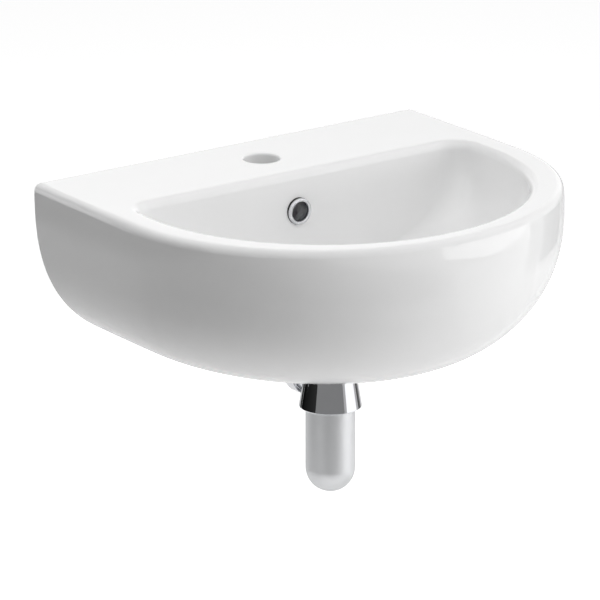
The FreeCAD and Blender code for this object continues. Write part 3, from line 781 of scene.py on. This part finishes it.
@dataclass
class Studio:
    """Camera, floor, lights and panels."""

    azimuth: float = -35.912
    elevation: float = 17.549
    distance: float = 6.0
    aim: tuple[float, float, float] = (-0.014535, -0.13941, -0.053976)
    lens: float = 377.108
    sensor: float = 36.0
    sight: float = 50.0
    ambient: float = 0.01
    floor_drop: float = 0.785
    floor_size: float = 60.0
    floor_paint: str = "#EDEDED"
    # What the eye sees of the floor's glow, which is weaker near the basin so that its shadow shows.
    floor_glow: float = 0.9
    shadow_glow: float = 0.5
    shadow_reach: tuple[float, float] = (0.7, 1.15)
    # What reflections see of it, rising to the right; at full glow the basin's lower edge is lost.
    mirror_glow: tuple[float, float] = (0.3, 0.5)
    mirror_reach: tuple[float, float] = (0.6, 1.8)
    foot_shade: float = 0.5
    softboxes: tuple[Softbox, ...] = field(default_factory=lambda: (
        Softbox("strip_softbox", 48.5, 7.3, 2.4, (2.2, 0.29), 1.7),
        Softbox("rear_softbox", 144, 17.5, 2.4, (2.6, 1.1), 0.41, True),
        Softbox("key_softbox", 42, 25, 2.4, (1.4, 0.9), 2.5),
        Softbox("side_softbox", 85, 22, 2.4, (1.4, 1.0), 2.7),
        Softbox("fill_softbox", 35, 6, 2.4, (1.6, 0.6), 4.2),
        Softbox("front_softbox", -10, 55, 2.2, (1.4, 1.0), 3.5),
        Softbox("high_softbox", -100, 62, 2.2, (1.4, 1.2), 3.35),
        Softbox("back_softbox", -160, 30, 2.4, (1.4, 1.2), 3.1),
        Softbox("low_softbox", 0, -40, 0.9, (1.0, 0.5), 1.1),
    ))
    panels: tuple[Panel, ...] = field(default_factory=lambda: (
        Panel("black_flag", -127, 2.0, 3.0, (-0.785, 2.0), (-0.785, 2.0), (0.0, 0.03), -0.6),
        Panel("rear_flag", 174, 2.0, 1.5, (-0.6, -0.1), (-0.6, -0.1), (0.05, 0.03)),
        Panel("grey_flag", -37, 1.6, 4.2, (-0.785, 0.12), (-0.785, 0.12), (0.25, 0.25), -0.6),
        Panel("shade_flag", 97, 2.0, 0.92, (-0.6, -0.1), (-0.6, -0.1), (0.02, 0.35)),
        Panel("left_card", -144.2, 1.9, 0.4, (-0.35, 0.45), (-0.35, 0.45), (1.4, 1.4)),
        Panel("low_card", 48, 2.2, 1.86, (-0.785, 0.0), (-0.785, 0.0), (1.35, 1.35)),
        Panel("strip_card", 47, 2.4, 2.27, (0.3, 0.49), (-0.25, 0.45), (3.2, 2.5)),
    ))

    def direction(self, azimuth: float, elevation: float) -> Vector:
        """Return the unit direction at an azimuth from the front and an elevation, in degrees."""
        turn, rise = math.radians(azimuth), math.radians(elevation)
        return Vector((math.sin(turn) * math.cos(rise), -math.cos(turn) * math.cos(rise),
                       math.sin(rise)))

    def add_camera(self) -> None:
        """Add the camera at the photograph's viewing angle."""
        data = bpy.data.cameras.new("camera")
        data.lens = self.lens
        data.sensor_width = self.sensor
        data.clip_end = self.sight
        camera = bpy.data.objects.new("camera", data)
        bpy.context.scene.collection.objects.link(camera)
        back = self.direction(self.azimuth, self.elevation)
        camera.location = Vector(self.aim) + back * self.distance
        camera.rotation_euler = (-back).to_track_quat("-Z", "Y").to_euler()
        bpy.context.scene.camera = camera

    def add_softbox(self, box: Softbox) -> None:
        """Add a rectangular light that faces the basin.

        Args:
            box: The light; only a mirrored one shows in reflections.
        """
        data = bpy.data.lights.new(box.name, "AREA")
        data.shape = "RECTANGLE"
        data.size, data.size_y = box.size
        data.energy = box.radiance * math.pi * box.size[0] * box.size[1]
        light = bpy.data.objects.new(box.name, data)
        bpy.context.scene.collection.objects.link(light)
        back = self.direction(box.azimuth, box.elevation)
        light.location = Vector(self.aim) + back * box.distance
        light.rotation_euler = back.to_track_quat("Z", "Y").to_euler()
        light.visible_camera = False
        light.visible_glossy = box.mirrored

    def add_panel(self, panel: Panel) -> None:
        """Add an upright panel, shaded from its near to its far end.

        Args:
            panel: The panel.
        """
        bpy.ops.object.select_all(action="DESELECT")
        bpy.ops.mesh.primitive_plane_add(size=1.0)
        card = bpy.context.object
        card.name = card.data.name = panel.name
        for corner in card.data.vertices:
            foot, head = panel.far if corner.co.x > 0 else panel.near
            corner.co = (corner.co.x * panel.width, head if corner.co.y > 0 else foot, 0.0)
        back = self.direction(panel.azimuth, 0.0)
        card.location = Vector(self.aim) + back * panel.distance
        card.location.z = 0.0
        card.rotation_euler = back.to_track_quat("Z", "Y").to_euler()
        card.visible_camera = card.visible_diffuse = card.visible_shadow = False
        card.visible_transmission = False
        material = bpy.data.materials.new(panel.name)
        tree = empty_tree(material)
        place = add_node(tree, "ShaderNodeSeparateXYZ", links={
            "Vector": add_node(tree, "ShaderNodeTexCoord").outputs["Object"]})
        shade = add_node(tree, "ShaderNodeMapRange", {
            "From Min": -panel.width / 2, "From Max": panel.width / 2,
            "To Min": panel.shades[0], "To Max": panel.shades[1]}, {"Value": place.outputs["X"]})
        fade = add_node(tree, "ShaderNodeMapRange", {
            "interpolation_type": "SMOOTHSTEP", "From Min": -self.floor_drop, "From Max": panel.hem},
            {"Value": place.outputs["Y"]})
        level = add_node(tree, "ShaderNodeMix", {FLOAT_A: self.foot_shade}, {
            "Factor": fade.outputs["Result"], FLOAT_B: shade.outputs["Result"]})
        cloth = add_node(tree, "ShaderNodeEmission", links={"Strength": level.outputs[FLOAT_OUT]})
        add_node(tree, "ShaderNodeOutputMaterial", links={"Surface": cloth.outputs[0]})
        card.data.materials.append(material)

    def shown(self, tree: bpy.types.NodeTree) -> bpy.types.NodeSocket:
        """Add a switch for what is looked at.

        Args:
            tree: The node tree that gets the switch.

        Returns:
            A socket that is 1 for what the eye, a mirror or glass looks at.
        """
        path = add_node(tree, "ShaderNodeLightPath")
        seen = add_node(tree, "ShaderNodeMath", {"operation": "MAXIMUM"},
                        {0: path.outputs["Is Camera Ray"], 1: path.outputs["Is Glossy Ray"]})
        return add_node(tree, "ShaderNodeMath", {"operation": "MAXIMUM"}, {
            0: seen.outputs[0], 1: path.outputs["Is Transmission Ray"]}).outputs[0]

    def add_world(self) -> None:
        """Add a white background that lights the basin more weakly than it shows."""
        world = bpy.data.worlds.new("studio")
        tree = empty_tree(world)
        level = add_node(tree, "ShaderNodeMapRange", {"To Min": self.ambient, "To Max": 1.0},
                         {"Value": self.shown(tree)})
        light = add_node(tree, "ShaderNodeBackground", {"Color": (1, 1, 1, 1)},
                         {"Strength": level.outputs["Result"]})
        add_node(tree, "ShaderNodeOutputWorld", links={"Surface": light.outputs[0]})
        bpy.context.scene.world = world

    def add_floor(self) -> None:
        """Add the pale floor below the basin, which glows a little and keeps the basin's shadow."""
        bpy.ops.object.select_all(action="DESELECT")
        bpy.ops.mesh.primitive_plane_add(size=self.floor_size, location=(0, 0, -self.floor_drop))
        floor = bpy.context.object
        floor.name = floor.data.name = "floor"
        material = bpy.data.materials.new("pale_floor")
        tree = empty_tree(material)
        paint_coat = add_node(tree, "ShaderNodeBsdfDiffuse", {"Color": linear(self.floor_paint)})
        spot = add_node(tree, "ShaderNodeTexCoord").outputs["Object"]
        apart = add_node(tree, "ShaderNodeVectorMath", {"operation": "LENGTH"}, {0: spot})
        level = add_node(tree, "ShaderNodeMapRange", {
            "From Min": self.shadow_reach[0], "From Max": self.shadow_reach[1],
            "To Min": self.shadow_glow, "To Max": self.floor_glow}, {"Value": apart.outputs["Value"]})
        path = add_node(tree, "ShaderNodeLightPath")
        eye = add_node(tree, "ShaderNodeMath", {"operation": "MAXIMUM"}, {
            0: path.outputs["Is Camera Ray"], 1: path.outputs["Is Transmission Ray"]})
        direct = add_node(tree, "ShaderNodeMath", {"operation": "MULTIPLY"},
                          {0: eye.outputs[0], 1: level.outputs["Result"]})
        rightward = add_node(tree, "ShaderNodeSeparateXYZ", links={"Vector": spot}).outputs["X"]
        mirrored = add_node(tree, "ShaderNodeMapRange", {
            "From Min": self.mirror_reach[0], "From Max": self.mirror_reach[1],
            "To Min": self.mirror_glow[0], "To Max": self.mirror_glow[1]}, {"Value": rightward})
        strength = add_node(tree, "ShaderNodeMath", {"operation": "MULTIPLY_ADD"}, {
            0: path.outputs["Is Glossy Ray"], 1: mirrored.outputs["Result"], 2: direct.outputs[0]})
        glow = add_node(tree, "ShaderNodeEmission", links={"Strength": strength.outputs[0]})
        both = add_node(tree, "ShaderNodeAddShader",
                        links={0: paint_coat.outputs[0], 1: glow.outputs[0]})
        add_node(tree, "ShaderNodeOutputMaterial", links={"Surface": both.outputs[0]})
        floor.data.materials.append(material)

    def build(self) -> None:
        """Set the stage."""
        bpy.context.scene.view_settings.view_transform = "Standard"
        self.add_camera()
        self.add_world()
        self.add_floor()
        for box in self.softboxes:
            self.add_softbox(box)
        for panel in self.panels:
            self.add_panel(panel)


def main() -> None:
    """Dress the basin's nodes, build its fittings and light them."""
    logging.basicConfig(level=logging.INFO, format="%(message)s")
    bpy.ops.object.select_all(action="DESELECT")
    for row in frame["record"]["subparts"]:
        paint(frame["nodes"][row["node"]], Slot(row["material_slot"]))
        LOG.info("dressed %s", row["node"])
    for fitting in (Overflow(), Waste(), Trap()):
        for piece in fitting.build():
            LOG.info("built %s with %d faces", piece.name, len(piece.data.polygons))
    Studio().build()


if __name__ == "__main__":
    main()
